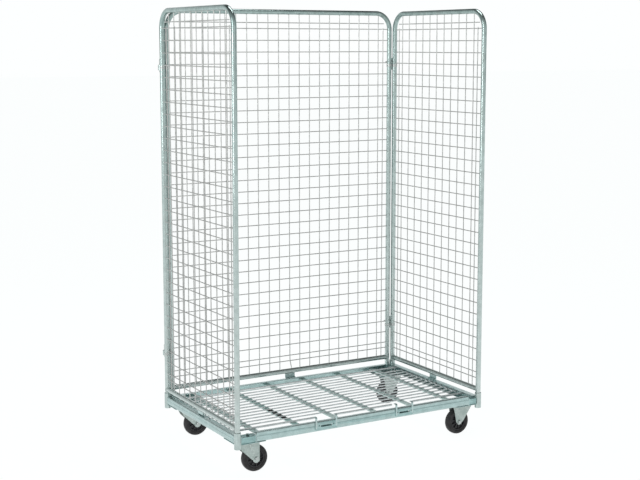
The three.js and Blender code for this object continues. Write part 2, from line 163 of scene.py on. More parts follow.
def filleted(points, radius, steps=4, closed=True):
    """An outline or line with its corners rounded, by one radius or one for each point."""
    result = []
    count = len(points)
    for i, point in enumerate(points):
        size = radius[i] if isinstance(radius, list) else radius
        if size == 0 or (not closed and i in (0, count - 1)):
            result.append(tuple(point))
            continue
        p = Vector(point)
        before = Vector(points[i - 1]) - p
        after = Vector(points[(i + 1) % count]) - p
        half = before.angle(after) / 2
        reach = min(size / math.tan(half), before.length * 0.49, after.length * 0.49)
        size = reach * math.tan(half)
        between = (before.normalized() + after.normalized()).normalized()
        middle = p + between * (size / math.sin(half))
        start = p + before.normalized() * reach - middle
        end = p + after.normalized() * reach - middle
        whole = start.angle_signed(end)
        for k in range(steps + 1):
            turned = start.copy()
            turned.rotate(Matrix.Rotation(-whole * k / steps, 2))
            result.append(tuple(middle + turned))
    return result


def rectangle(u0, u1, v0, v1, radius=0.0, steps=5):
    corners = [(u0, v0), (u1, v0), (u1, v1), (u0, v1)]
    return filleted(corners, radius, steps) if radius else corners


def stadium(u, v, length, width, steps=8):
    """The outline of a slot with round ends, long along u."""
    half = length / 2 - width / 2
    ends = arc((half, 0), width / 2, -90, 90, steps) + arc((-half, 0), width / 2, 90, 270, steps)
    return [(u + a, v + b) for a, b in ends]


def edge_normals(points, closed=True):
    """At each point of a line a vector to its left, of length 1 but longer at corners."""
    points = [Vector(p) for p in points]
    count = len(points)
    result = []
    for i, point in enumerate(points):
        lines = []
        if i > 0 or closed:
            lines.append((point - points[i - 1]).normalized())
        if i < count - 1 or closed:
            lines.append((points[(i + 1) % count] - point).normalized())
        sides = [Vector((-line.y, line.x)) for line in lines]
        normal = sum(sides, Vector((0, 0))).normalized()
        result.append(normal / max(0.4, normal.dot(sides[0])))
    return result


def bent_sheet(line, thickness, bend):
    """The outline of a bent sheet whose middle follows a line of (u, v) points."""
    middle = filleted(line, bend, steps=5, closed=False)
    normals = edge_normals(middle, closed=False)
    half = thickness / 2
    ease = 0.35 * thickness
    left = [Vector(p) + n * half for p, n in zip(middle, normals)]
    right = [Vector(p) - n * half for p, n in zip(middle, normals)]
    for side in (left, right):
        side[0] = side[0] + (side[1] - side[0]).normalized() * ease
        side[-1] = side[-1] + (side[-2] - side[-1]).normalized() * ease
    start, end = Vector(middle[0]), Vector(middle[-1])
    outline = left + [end + normals[-1] * ease * 0.6, end - normals[-1] * ease * 0.6]
    outline += right[::-1] + [start - normals[0] * ease * 0.6, start + normals[0] * ease * 0.6]
    return [tuple(p) for p in outline]


def rod_profile(inner, outer, low, high, ease):
    """The (radius, height) profile of a rod or band whose outer edges are chamfered."""
    return [
        (inner, low), (outer - ease, low), (outer, low + ease),
        (outer, high - ease), (outer - ease, high), (inner, high),
    ]


# ---------- shapes ----------


class Shape:
    """The vertices and faces of one piece while it is being built."""

    def __init__(self):
        self.verts = []
        self.faces = []

    def add(self, verts, faces):
        start = len(self.verts)
        self.verts += [Vector(v) for v in verts]
        self.faces += [tuple(i + start for i in face) for face in faces]
        return self

    def rings(self, rings, loop=False):
        """Joins rings of points, all of one length, into a skin, capped unless it is a loop."""
        count = len(rings[0])
        verts = [v for ring in rings for v in ring]
        faces = []
        for i in range(len(rings) if loop else len(rings) - 1):
            a = i * count
            b = (i + 1) % len(rings) * count
            for k in range(count):
                m = (k + 1) % count
                faces.append((a + k, a + m, b + m, b + k))
        if not loop:
            faces.append(tuple(range(count - 1, -1, -1)))
            faces.append(tuple(range(len(verts) - count, len(verts))))
        return self.add(verts, faces)


def unit_across(direction):
    """A unit vector at right angles to a direction."""
    helper = Vector((0, 0, 1)) if abs(direction.z) < 0.9 else Vector((1, 0, 0))
    return direction.cross(helper).normalized()


def sweep(shape, path, radius, sides, loop=False, bore=None):
    """A round bar along points, of one radius or one for each point.

    bore is the (radius, depth) of a blind hole in both ends.
    """
    points = [Vector(p) for p in path]
    count = len(points)
    radii = radius if isinstance(radius, list) else [radius] * count
    tangents = []
    for i in range(count):
        before = points[i - 1] if (i > 0 or loop) else points[0]
        after = points[(i + 1) % count] if (i < count - 1 or loop) else points[-1]
        tangents.append((after - before).normalized())
    across = unit_across(tangents[0])
    rings = []
    for point, tangent, size in zip(points, tangents, radii):
        across = (across - tangent * across.dot(tangent)).normalized()
        other = tangent.cross(across)
        rings.append([
            point + (across * math.cos(turn) + other * math.sin(turn)) * size
            for turn in turns(sides)
        ])
    if bore:
        share = bore[0] / radii[0]

        def narrowed(ring, centre, shift):
            return [centre + (v - centre) * share + shift for v in ring]

        head = [narrowed(rings[0], points[0], d) for d in (tangents[0] * bore[1], Vector())]
        tail = [narrowed(rings[-1], points[-1], d) for d in (Vector(), -tangents[-1] * bore[1])]
        rings = head + rings + tail
    return shape.rings(rings, loop)


def lathe(shape, profile, centre, axis="Z", segments=48):
    """Turns (radius, height) points about an axis. The profile closes on itself or on the axis."""
    centre = Vector(centre)
    return shape.rings([
        [centre + along(axis, r * math.cos(turn), r * math.sin(turn), h) for r, h in profile]
        for turn in turns(segments)
    ], loop=True)


def extrude(shape, outline, axis, start, end):
    return shape.rings([[along(axis, u, v, w) for u, v in outline] for w in (start, end)])


def plate(shape, outline, axis, start, end, ease=0.7 * MM):
    """A flat plate with rounded edges, from start to end along its axis."""
    following = outline[1:] + outline[:1]
    if sum(a[0] * b[1] - b[0] * a[1] for a, b in zip(outline, following)) < 0:
        outline = outline[::-1]
    normals = edge_normals(outline)
    direction = 1 if end > start else -1
    edge = [(ease, 0), (0.3 * ease, 0.3 * ease), (0, ease)]
    levels = [(inset, start + direction * depth) for inset, depth in edge]
    levels += [(inset, end - direction * depth) for inset, depth in edge[::-1]]
    return shape.rings([
        [along(axis, u + n.x * inset, v + n.y * inset, w) for (u, v), n in zip(outline, normals)]
        for inset, w in levels
    ])


def bead(shape, path, radius=1.7 * MM, loop=False):
    """A weld bead with the ripple of a hand weld."""
    points = [Vector(p) for p in path]
    sizes = []
    for i, p in enumerate(points):
        ripple = 0.16 * math.sin(i * 2.1) + 0.3 * noise.noise(p * 260)
        ends = 0.55 if not loop and i in (0, len(points) - 1) else 1.0
        sizes.append(radius * (1 + ripple) * ends)
    return sweep(shape, points, sizes, 8, loop)


def blob(shape, centre, size):
    """A small weld spot: a flattened ball, sizes along X, Y and Z."""
    rows, columns = 4, 6
    centre = Vector(centre)
    verts = [centre + Vector((0, 0, -size[2]))]
    for row in range(1, rows):
        lift = -math.pi / 2 + math.pi * row / rows
        for turn in turns(columns):
            verts.append(centre + Vector((
                size[0] * math.cos(lift) * math.cos(turn),
                size[1] * math.cos(lift) * math.sin(turn),
                size[2] * math.sin(lift))))
    verts.append(centre + Vector((0, 0, size[2])))
    faces = []
    top = 1 + (rows - 2) * columns
    for c in range(columns):
        m = (c + 1) % columns
        faces.append((0, 1 + m, 1 + c))
        for a in range(1, top, columns):
            b = a + columns
            faces.append((a + c, a + m, b + m, b + c))
        faces.append((top + c, top + m, len(verts) - 1))
    return shape.add(verts, faces)


def hexagon(shape, centre, across, start, end, axis="Z", turn=0.0):
    """A bolt head or nut: a six-sided prism with chamfered corners."""
    radius = across / math.sqrt(3)
    centre = Vector(centre)
    step = (end - start) * 0.14
    rings = []
    for w, share in ((start, 0.9), (start + step, 1.0), (end - step, 1.0), (end, 0.9)):
        ring = []
        for angle in turns(24):
            corner = math.cos(math.pi / 6) / math.cos(angle % (math.pi / 3) - math.pi / 6)
            size = radius * min(corner, share)
            u, v = size * math.cos(angle + turn), size * math.sin(angle + turn)
            ring.append(centre + along(axis, u, v, w))
        rings.append(ring)
    return shape.rings(rings)


# ---------- pieces ----------


def new_object(name, shape):
    """An object in the scene with the shape's mesh, its faces looking out."""
    mesh = bpy.data.meshes.new(name)
    mesh.from_pydata([tuple(v) for v in shape.verts], [], shape.faces)
    build = bmesh.new()
    build.from_mesh(mesh)
    bmesh.ops.remove_doubles(build, verts=build.verts, dist=1e-6)
    bmesh.ops.recalc_face_normals(build, faces=build.faces)
    build.to_mesh(mesh)
    build.free()
    piece = bpy.data.objects.new(name, mesh)
    bpy.context.scene.collection.objects.link(piece)
    return piece


def shade(mesh):
    """Smooth faces that meet in sharp edges at corners."""
    build = bmesh.new()
    build.from_mesh(mesh)
    for face in build.faces:
        face.smooth = True
    for edge in build.edges:
        edge.smooth = len(edge.link_faces) == 2 and edge.calc_face_angle(0) < CREASE
    build.to_mesh(mesh)
    build.free()


def make(name, shape, body, finish, *nodes):
    """Turns a shape into a piece that rides on a body and stands in for the nodes named."""
    slot, material = finish
    piece = new_object(name, shape)
    shade(piece.data)
    piece.data.materials.append(material)
    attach(piece, body)
    if nodes:
        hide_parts(*nodes)
    return piece


def carve(piece, cutters):
    """Cuts closed shapes out of a piece for good."""
    for shape in cutters:
        cutter = new_object("cutter", shape)
        modifier = piece.modifiers.new("cut", "BOOLEAN")
        modifier.operation = "DIFFERENCE"
        modifier.solver = "EXACT"
        modifier.object = cutter
        bpy.context.view_layer.update()
        evaluated = piece.evaluated_get(bpy.context.evaluated_depsgraph_get())
        done = bpy.data.meshes.new_from_object(evaluated)
        piece.modifiers.remove(modifier)
        used = (piece.data, cutter.data)
        piece.data = done
        bpy.data.objects.remove(cutter)
        for mesh in used:
            bpy.data.meshes.remove(mesh)
    shade(piece.data)


# ---------- materials ----------


def new_material(name, colour, roughness, metallic):
    material = bpy.data.materials.new(name)
    material.use_nodes = True
    shader = material.node_tree.nodes["Principled BSDF"]
    shader.inputs["Base Color"].default_value = (*colour, 1)
    shader.inputs["Roughness"].default_value = roughness
    shader.inputs["Metallic"].default_value = metallic
    return material, material.node_tree, shader


def noise_node(tree, scale, detail=3.0, stretch=(1, 1, 1)):
    """Noise in the object's own coordinates. scale is in features for each metre."""
    place = tree.nodes.new("ShaderNodeTexCoord")
    mapping = tree.nodes.new("ShaderNodeMapping")
    mapping.inputs["Scale"].default_value = stretch
    texture = tree.nodes.new("ShaderNodeTexNoise")
    texture.inputs["Scale"].default_value = scale
    texture.inputs["Detail"].default_value = detail
    tree.links.new(place.outputs["Object"], mapping.inputs["Vector"])
    tree.links.new(mapping.outputs["Vector"], texture.inputs["Vector"])
    return texture.outputs["Fac"]


def ramp(tree, source, stops):
    """A colour ramp over (position, colour) stops."""
    node = tree.nodes.new("ShaderNodeValToRGB")
    elements = node.color_ramp.elements
    while len(elements) < len(stops):
        elements.new(0.5)
    for element, (position, colour) in zip(elements, stops):
        element.position = position
        element.color = (*colour, 1)
    tree.links.new(source, node.inputs["Fac"])
    return node.outputs["Color"]


def remap(tree, source, low, high, start=0.3, end=0.7):
    """A value that goes from low to high while the source goes from start to end."""
    node = tree.nodes.new("ShaderNodeMapRange")
    node.inputs["From Min"].default_value = start
    node.inputs["From Max"].default_value = end
    node.inputs["To Min"].default_value = low
    node.inputs["To Max"].default_value = high
    tree.links.new(source, node.inputs["Value"])
    return node.outputs["Result"]


def blend_colour(tree, factor, first, second, mode="MIX"):
    node = tree.nodes.new("ShaderNodeMix")
    node.data_type = "RGBA"
    node.blend_type = mode
    for socket, value in (("Factor", factor), ("A", first), ("B", second)):
        # colour sockets share their names with the plain ones, so they are picked by type
        kind = "VALUE" if socket == "Factor" else "RGBA"
        target = next(s for s in node.inputs if s.name == socket and s.type == kind)
        if isinstance(value, bpy.types.NodeSocket):
            tree.links.new(value, target)
        else:
            target.default_value = value
    return next(s for s in node.outputs if s.type == "RGBA")


def bump(tree, shader, source, height, strength=0.5):
    node = tree.nodes.new("ShaderNodeBump")
    node.inputs["Strength"].default_value = strength
    node.inputs["Distance"].default_value = height
    tree.links.new(source, node.inputs["Height"])
    tree.links.new(node.outputs["Normal"], shader.inputs["Normal"])


def zinc(
    name, dark, light, roughness, metallic=0.85, stretch=(1, 1, 1), cloud=45, stain=0.25, grit=0.35
):
    """Zinc plating: clouds, drawn streaks, a few stains, fine grit and edges worn bright."""
    material, tree, shader = new_material(name, light, roughness, metallic)
    clouds = noise_node(tree, cloud, 4.0)
    streaks = noise_node(tree, 260, 3.0, stretch)
    specks = noise_node(tree, 900, 2.0)
    tone = ramp(tree, clouds, [(0.32, dark), (0.66, light)])
    darker = (*[c * 0.72 for c in dark], 1)
    streaked = blend_colour(tree, remap(tree, streaks, 0.0, 0.5), tone, darker)
    stains = remap(tree, noise_node(tree, 14, 5.0), 0.0, stain, 0.52, 0.72)
    stained = blend_colour(tree, stains, streaked, (0.33, 0.34, 0.31, 1))
    geometry = tree.nodes.new("ShaderNodeNewGeometry")
    worn = remap(tree, geometry.outputs["Pointiness"], 0.0, 0.35, 0.52, 0.6)
    final = blend_colour(tree, worn, stained, (0.86, 0.88, 0.87, 1))
    tree.links.new(final, shader.inputs["Base Color"])
    rough = remap(tree, streaks, roughness - 0.09, roughness + 0.11)
    tree.links.new(rough, shader.inputs["Roughness"])
    bump(tree, shader, specks, 0.12 * MM, grit)
    return material


def rubber(name, colour, dust, roughness):
    """Dark rubber or plastic with patches of dust and a fine grain."""
    material, tree, shader = new_material(name, colour, roughness, 0.0)
    shader.inputs["Specular IOR Level"].default_value = 0.35
    patches = noise_node(tree, 55, 5.0)
    grain = noise_node(tree, 1400, 2.0)
    tone = ramp(tree, patches, [(0.38, colour), (0.75, dust)])
    tree.links.new(tone, shader.inputs["Base Color"])
    rough = remap(tree, patches, roughness - 0.12, roughness + 0.08)
    tree.links.new(rough, shader.inputs["Roughness"])
    bump(tree, shader, grain, 0.15 * MM, 0.5)
    return material


tube_zinc = zinc(
    "tube_zinc", (0.31, 0.41, 0.395), (0.46, 0.575, 0.56), 0.17, 0.92, (1, 1, 0.04), grit=0.1)
wire_zinc = zinc("wire_zinc", (0.34, 0.345, 0.335), (0.52, 0.525, 0.51), 0.38, 0.6)
rod_zinc = zinc(
    "rod_zinc", (0.57, 0.62, 0.625), (0.78, 0.84, 0.845), 0.38, 0.35, (0.05, 1, 1), stain=0.1)
sheet_zinc = zinc(
    "sheet_zinc", (0.21, 0.385, 0.38), (0.34, 0.545, 0.54), 0.28, 0.85, (0.06, 1, 1), stain=0.15)
side_zinc = zinc(
    "side_zinc", (0.22, 0.39, 0.385), (0.36, 0.555, 0.55), 0.28, 0.85, (1, 0.06, 1), stain=0.15)
cross_zinc = zinc(
    "cross_zinc", (0.43, 0.66, 0.63), (0.60, 0.85, 0.81), 0.48, 0.2, (1, 0.06, 1), stain=0.1)
castor_zinc = zinc("castor_zinc", (0.34, 0.42, 0.395), (0.50, 0.575, 0.55), 0.38, 0.65)
bolt_zinc = zinc("bolt_zinc", (0.30, 0.35, 0.34), (0.48, 0.53, 0.52), 0.28, cloud=120)
weld_zinc = zinc(
    "weld_zinc", (0.27, 0.36, 0.345), (0.42, 0.52, 0.50), 0.45, 0.6, cloud=200, stain=0.3)
tyre_rubber = rubber("tyre_rubber", (0.012, 0.011, 0.012), (0.045, 0.043, 0.044), 0.62)
hub_plastic = rubber("hub_plastic", (0.022, 0.022, 0.025), (0.06, 0.06, 0.065), 0.5)
pad_rubber = rubber("pad_rubber", (0.008, 0.010, 0.009), (0.03, 0.032, 0.03), 0.7)

# finishes: the record's slot and the look
TUBE, TUBE_WELD = ("tube", tube_zinc), ("tube", weld_zinc)
WIRE, ROD, ROD_WELD = ("wire", wire_zinc), ("wire", rod_zinc), ("wire", weld_zinc)
SHEET, SHEET_WELD = ("sheet", sheet_zinc), ("sheet", weld_zinc)
SIDE_RAIL, CROSS_BAR, SOCKET = ("sheet", side_zinc), ("sheet", cross_zinc), ("sheet", tube_zinc)
BOLT, BOLT_WELD = ("bolt", bolt_zinc), ("bolt", weld_zinc)
CASTOR = ("castor_steel", castor_zinc)
TYRE, HUB, PAD = ("tyre", tyre_rubber), ("hub", hub_plastic), ("pad", pad_rubber)


# ---------- panels ----------


class Panel:
    """Where a panel's tubes are, from the box of its mesh. u runs across the panel, z up."""

    def __init__(self, name, across):
        self.name = name
        self.body = f"{name}_panel"
        self.across = across
        self.index = 0 if across == "X" else 1
        low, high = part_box(f"{name}_panel_mesh")
        reach = TUBE_RADIUS + GAP
        other = 1 - self.index
        self.middle = (low[self.index] + high[self.index]) / 2
        self.plane = (low[other] + high[other]) / 2
        self.half = (high[self.index] - low[self.index]) / 2 + reach
        self.bottom = low.z - reach
        self.top = high.z + reach
        self.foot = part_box(f"{name}_panel_frame")[0].z

    def at(self, u, z, lift=0.0):
        """A point of the panel. lift is out of its plane."""
        if self.across == "X":
            return Vector((self.middle + u, self.plane + lift, z))
        return Vector((self.plane + lift, self.middle + u, z))


rear = Panel("rear", "X")
left = Panel("left", "Y")
right = Panel("right", "Y")


def arch_path(panel):
    """The centreline of a panel's bent tube, from foot to foot."""
    bend = (panel.half - CORNER_RADIUS, panel.top - CORNER_RADIUS)
    half = [(panel.half, panel.foot)] + arc(bend, CORNER_RADIUS, 0, 90, 14)
    return [panel.at(u, z) for u, z in half + [(-u, z) for u, z in half[::-1]]]


def joint_loop(panel, side):
    """The closed line where the bottom tube meets an upright."""
    points = []
    for turn in turns(36):
        lift = TUBE_RADIUS * math.cos(turn)
        rise = TUBE_RADIUS * math.sin(turn)
        back = math.sqrt(max(TUBE_RADIUS**2 - lift**2, (0.25 * TUBE_RADIUS) ** 2))
        points.append(panel.at(side * (panel.half - back), panel.bottom + rise, lift))
    return points


def build_frame(panel):
    name = f"{panel.name}_frame"
    bore = (TUBE_RADIUS - TUBE_WALL, TUBE_BORE_DEPTH)
    arch = sweep(Shape(), arch_path(panel), TUBE_RADIUS, 40, bore=bore)
    make(f"{name}_arch", arch, panel.body, TUBE, f"{panel.name}_panel_frame")
    inner = panel.half - 0.4 * TUBE_RADIUS
    path = [panel.at(-inner, panel.bottom), panel.at(inner, panel.bottom)]
    bottom = sweep(Shape(), path, TUBE_RADIUS, 40)
    make(f"{name}_bottom_tube", bottom, panel.body, TUBE)
    welds = Shape()
    for side in (-1, 1):
        bead(welds, joint_loop(panel, side), loop=True)
    make(f"{name}_welds", welds, panel.body, TUBE_WELD)


def wire_columns(pitch, count):
    """Across the panel: the full-length wires, and the extra one next to each upright."""
    full = [(i - (count - 1) / 2) * pitch for i in range(count)]
    extra = full[-1] + pitch / 2
    return full, [-extra, extra]


def wire_levels(panel):
    """Up the panel: the full-width wires, and the extra one next to the bottom and top tubes."""
    count = round((panel.top - panel.bottom - 2 * WIRE_EDGE) / WIRE_RISE) + 1
    lowest = panel.bottom + WIRE_EDGE
    full = [lowest + i * WIRE_RISE for i in range(count)]
    return full, (full[0] - WIRE_RISE / 2, full[-1] + WIRE_RISE / 2)


def build_wires(panel, pitch, count, inward):
    """The panel's welded mesh. The upright wires lie on the load's side of the level ones."""
    wires, spots = Shape(), Shape()
    columns, side_columns = wire_columns(pitch, count)
    levels, (low_level, high_level) = wire_levels(panel)
    upright_lift = inward * WIRE_LIFT
    level_lift = -upright_lift
    knocks = {columns[len(columns) // 2]: KNOCK} if panel is rear else {}

    def wander(key, place):
        """A wire is never quite straight."""
        return WIRE_WANDER * noise.noise(Vector((key * 7.3, place * 3.1, panel.plane * 5)))

    def upright(u, z0, z1):
        points = [
            panel.at(u + wander(u, z), z, upright_lift + 0.5 * wander(u + 9, z))
            for z in spaced(z0, z1, 8)
        ]
        if u in knocks:
            points[0] = panel.at(u + knocks[u], z0, upright_lift)
            points.insert(1, panel.at(u + 0.1 * knocks[u], z0 + 40 * MM, upright_lift))
            points.insert(2, panel.at(u, z0 + 60 * MM, upright_lift))
        sweep(wires, points, WIRE_RADIUS, 10)

    def level(z, u0, u1):
        points = [
            panel.at(u, z + wander(z, u), level_lift + 0.5 * wander(z + 5, u))
            for u in spaced(u0, u1, 6)
        ]
        sweep(wires, points, WIRE_RADIUS, 10)

    foot = panel.bottom + TUBE_RADIUS
    head = panel.top - TUBE_RADIUS
    side = panel.half - TUBE_RADIUS
    for u in columns:
        upright(u, foot - WIRE_BURIED, head + WIRE_BURIED)
    for u in side_columns:
        upright(u, foot - WIRE_BURIED, levels[-1] + WIRE_TAIL)
    full_levels = levels + [low_level]
    for z in full_levels:
        level(z, -side - WIRE_BURIED, side + WIRE_BURIED)
    level(high_level, side_columns[0] - WIRE_TAIL, side_columns[1] + WIRE_TAIL)

    end_spot = (3 * MM, 3 * MM, 1.6 * MM)
    for u in columns + side_columns:
        for z in full_levels + ([high_level] if u in columns else []):
            blob(spots, panel.at(u + wander(u, z), z), (2.6 * MM, 2.6 * MM, 2.6 * MM))
        blob(spots, panel.at(u + knocks.get(u, 0.0), foot, 0.7 * upright_lift), end_spot)
    for u in columns:
        blob(spots, panel.at(u, head, 0.7 * upright_lift), end_spot)
    for z in full_levels:
        for end in (-side, side):
            blob(spots, panel.at(end, z, 0.7 * level_lift), (2.2 * MM, 2.2 * MM, 3 * MM))
    make(f"{panel.name}_wires", wires, panel.body, WIRE, f"{panel.name}_panel_mesh")
    make(f"{panel.name}_wire_spots", spots, panel.body, WIRE)


def build_tab(panel, inward):
    """The bent plate under a panel's bottom tube that keeps it over the rail's edge."""
    low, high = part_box(f"{panel.name}_panel_tab")
    u0, u1 = low[panel.index], high[panel.index]
    foot = low.z + TAB_SHEET / 2
    head = high.z + TAB_SHEET / 2
    line = [(panel.plane, head), (panel.plane, foot), (panel.plane + inward * TAB_LIP, foot)]
    tab = extrude(Shape(), bent_sheet(line, TAB_SHEET, 4 * MM), panel.across, u0, u1)
    make(f"{panel.name}_tab", tab, panel.body, SHEET, f"{panel.name}_panel_tab")
    welds = Shape()
    for lift in (-2.4 * MM, 2.4 * MM):
        path = [panel.at(u - panel.middle, high.z - 0.2 * MM, lift) for u in spaced(u0, u1, 14)]
        bead(welds, path, 1.5 * MM)
    make(f"{panel.name}_tab_welds", welds, panel.body, SHEET_WELD)


def build_eyes(panel):
    """The rings behind a side panel's rear upright that take the rear panel's pins."""
    side = panel.name
    upright = panel.middle + panel.half
    half, ease = EYE_HALF_HEIGHT, 0.9 * MM
    ring = rod_profile(EYE_RADIUS - ease, EYE_RADIUS, -half, half, ease)[1:5]
    ring += [(EYE_BORE + ease, half), (EYE_BORE, half - ease)]
    ring += [(EYE_BORE, ease - half), (EYE_BORE + ease, -half)]
    for level in LEVELS:
        pin_low, pin_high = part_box(f"hook_pin_{level}_{side}")
        y = (pin_low.y + pin_high.y) / 2
        middle = pin_low.z + EYE_RISE
        foot, head = middle - half, middle + half
        eye = lathe(Shape(), ring, (panel.plane, y, middle), segments=40)
        make(f"{side}_eye_{level}", eye, panel.body, TUBE)
        outline = rectangle(upright + 8 * MM, y - 6 * MM, foot, head, 1 * MM, 3)
        web = plate(Shape(), outline, "X", panel.plane - 3 * MM, panel.plane + 3 * MM)
        make(f"{side}_eye_web_{level}", web, panel.body, TUBE)
        welds = Shape()
        for x in (panel.plane - 3.6 * MM, panel.plane + 3.6 * MM):
            weld_y = upright + 9.6 * MM
            bead(welds, straight((x, weld_y, foot), (x, weld_y, head), 12), 1.5 * MM)
        make(f"{side}_eye_welds_{level}", welds, panel.body, TUBE_WELD)


def build_bands(panel):
    """Bands clamped round the uprights where the rear panel hooks on to the side panels."""
    uprights = {"a": panel.half, "b": -panel.half} if panel is rear else {"a": panel.half}
    half = HOOK_BAND_HEIGHT / 2
    profile = rod_profile(TUBE_RADIUS - 0.2 * MM, TUBE_RADIUS + 1.1 * MM, -half, half, 0.4 * MM)
    for level in LEVELS:
        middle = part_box(f"hook_pin_{level}_left")[0].z + EYE_RISE
        for tag, u in uprights.items():
            band = lathe(Shape(), profile, panel.at(u, middle), segments=40)
            make(f"{panel.name}_hook_band_{level}_{tag}", band, panel.body, BOLT)


def build_pins():
    """The rear panel's pins, each on an arm welded to the upright."""
    weld_y = rear.plane + TUBE_RADIUS - 0.3 * MM
    for level in LEVELS:
        for side, sign in (("left", -1), ("right", 1)):
            tag = f"{level}_{side}"
            low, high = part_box(f"hook_pin_{tag}")
            x = sign * (max(abs(low.x), abs(high.x)) - PIN_RADIUS)
            y = (low.y + high.y) / 2
            arm_z = high.z - PIN_ARM_DROP
            profile = rod_profile(0, PIN_RADIUS, low.z, high.z, 1.4 * MM)
            pin = lathe(Shape(), profile, (x, y, 0), segments=28)
            make(f"pin_{tag}", pin, "rear_panel", BOLT, f"hook_pin_{tag}")
            start = sign * (rear.half - 8 * MM)
            arm = sweep(Shape(), [(start, y, arm_z), (x, y, arm_z)], 3.9 * MM, 24)
            make(f"pin_arm_{tag}", arm, "rear_panel", BOLT)
            weld_x = sign * (rear.half + 1 * MM)
            ring = [
                (weld_x + 5.5 * MM * math.cos(turn), weld_y, arm_z + 4.6 * MM * math.sin(turn))
                for turn in turns(20)
            ]
            welds = bead(Shape(), ring, 1.6 * MM, loop=True)
            make(f"pin_welds_{tag}", welds, "rear_panel", BOLT_WELD)


# ---------- platform ----------


def rail_line(outer, top_end, bottom_end, low, high):
    """The middle of a rail's sheet, from the bottom flange's end to the top one's."""
    inward = 1 if top_end > outer else -1
    half = RAIL_SHEET / 2
    rise = high - low
    web = outer + inward * half
    inset = web + inward * RAIL_SWAGE
    return [
        (bottom_end, low + half), (web, low + half), (web, low + 0.52 * rise),
        (inset, low + 0.62 * rise), (inset, high - half), (top_end, high - half),
    ]


def slot_cutter(axis, u, v, length, width, top):
    """An upright cutter through a rail's top for a slot with round ends, long along X or Y."""
    outline = stadium(0, 0, length, width)
    placed = [(u + a, v + b) if axis == "X" else (u + b, v + a) for a, b in outline]
    return extrude(Shape(), placed, "Z", top - SLOT_BELOW, top + SLOT_ABOVE)


def make_rail(node, line, axis, start, end, finish):
    rail = extrude(Shape(), bent_sheet(line, RAIL_SHEET, RAIL_BEND), axis, start, end)
    return make(f"{node}_channel", rail, "platform", finish, node)


def build_front_rail():
    low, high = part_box("front_rail")
    end = high.y - RAIL_SHEET / 2
    line = rail_line(low.y, end, low.y + RAIL_BOTTOM_FLANGE, low.z, high.z)
    line.append((end, high.z - RAIL_SHEET / 2 - FRONT_RAIL_LIP))
    piece = make_rail("front_rail", line, "X", low.x, high.x, SHEET)
    cutters = []
    for side in ("left", "right"):
        bracket_low, bracket_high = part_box(f"slot_bracket_{side}")
        middle = (bracket_low.x + bracket_high.x) / 2
        outline = stadium(middle, bracket_low.z + BRACKET_SLOT_RISE, 53 * MM, 8 * MM)
        cutters.append(extrude(Shape(), outline, "Y", low.y - 3 * MM, low.y + 9 * MM))
    carve(piece, cutters)


def build_rear_rail():
    low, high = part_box("rear_rail")
    line = rail_line(high.y, low.y, high.y - RAIL_BOTTOM_FLANGE, low.z, high.z)
    piece = make_rail("rear_rail", line, "X", low.x, high.x, SHEET)
    y = high.y - 17 * MM
    carve(piece, [slot_cutter("X", x, y, size, 7 * MM, high.z) for x, size in REAR_SLOTS])


def build_side_rail(node, side):
    low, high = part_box(node)
    outer = low.x if side < 0 else high.x
    line = rail_line(outer, outer - side * 30 * MM, outer - side * 34 * MM, low.z, high.z)
    piece = make_rail(node, line, "Y", low.y, high.y, SIDE_RAIL)
    middle = (low.y + high.y) / 2
    cutters = [
        slot_cutter("Y", side * 562.5 * MM, middle + y, size, 9 * MM, high.z)
        for y, size in SIDE_SLOTS[node]
    ]
    # a notch in the flange's edge over each deck rod
    edge = outer - side * 31 * MM
    cutters += [slot_cutter("X", edge, y, 13 * MM, 9 * MM, high.z) for y in deck_rod_places()[0]]
    carve(piece, cutters)


def build_cross_bars():
    pad_low, pad_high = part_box("bar_pad")
    for i in CROSS_BARS:
        node = f"cross_bar_{i}"
        low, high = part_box(node)
        bar = extrude(Shape(), rectangle(low.x, high.x, low.z, high.z, 1.3 * MM, 4),
                      "Y", low.y, high.y)
        piece = make(f"deck_bar_{i}", bar, "platform", CROSS_BAR, node)
        if i == PAD_BAR:
            ease = 0.5 * MM
            seat = rectangle(
                pad_low.x - ease, pad_high.x + ease, pad_low.y - ease, pad_high.y + ease)
            carve(piece, [extrude(Shape(), seat, "Z", high.z - 1 * MM, high.z + 2 * MM)])
        welds = Shape()
        for y in (low.y + 1 * MM, high.y - 1 * MM):
            for z in (low.z, high.z):
                bead(welds, straight((low.x, y, z), (high.x, y, z), 14), 1.3 * MM)
        make(f"deck_bar_welds_{i}", welds, "platform", SHEET_WELD)
    outline = rectangle(pad_low.x, pad_high.x, pad_low.y, pad_high.y, 2 * MM, 3)
    pad = plate(Shape(), outline, "Z", pad_low.z, pad_high.z, 0.2 * MM)
    make("deck_pad", pad, "platform", PAD, "bar_pad")


def deck_rod_places():
    """The Y of each thin deck rod, and the height of their middles."""
    low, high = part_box("deck_rods")
    places = spaced(low.y + DECK_FLAT_END, high.y - DECK_FLAT_END, DECK_RODS - 1)
    return places, high.z - DECK_ROD_RADIUS


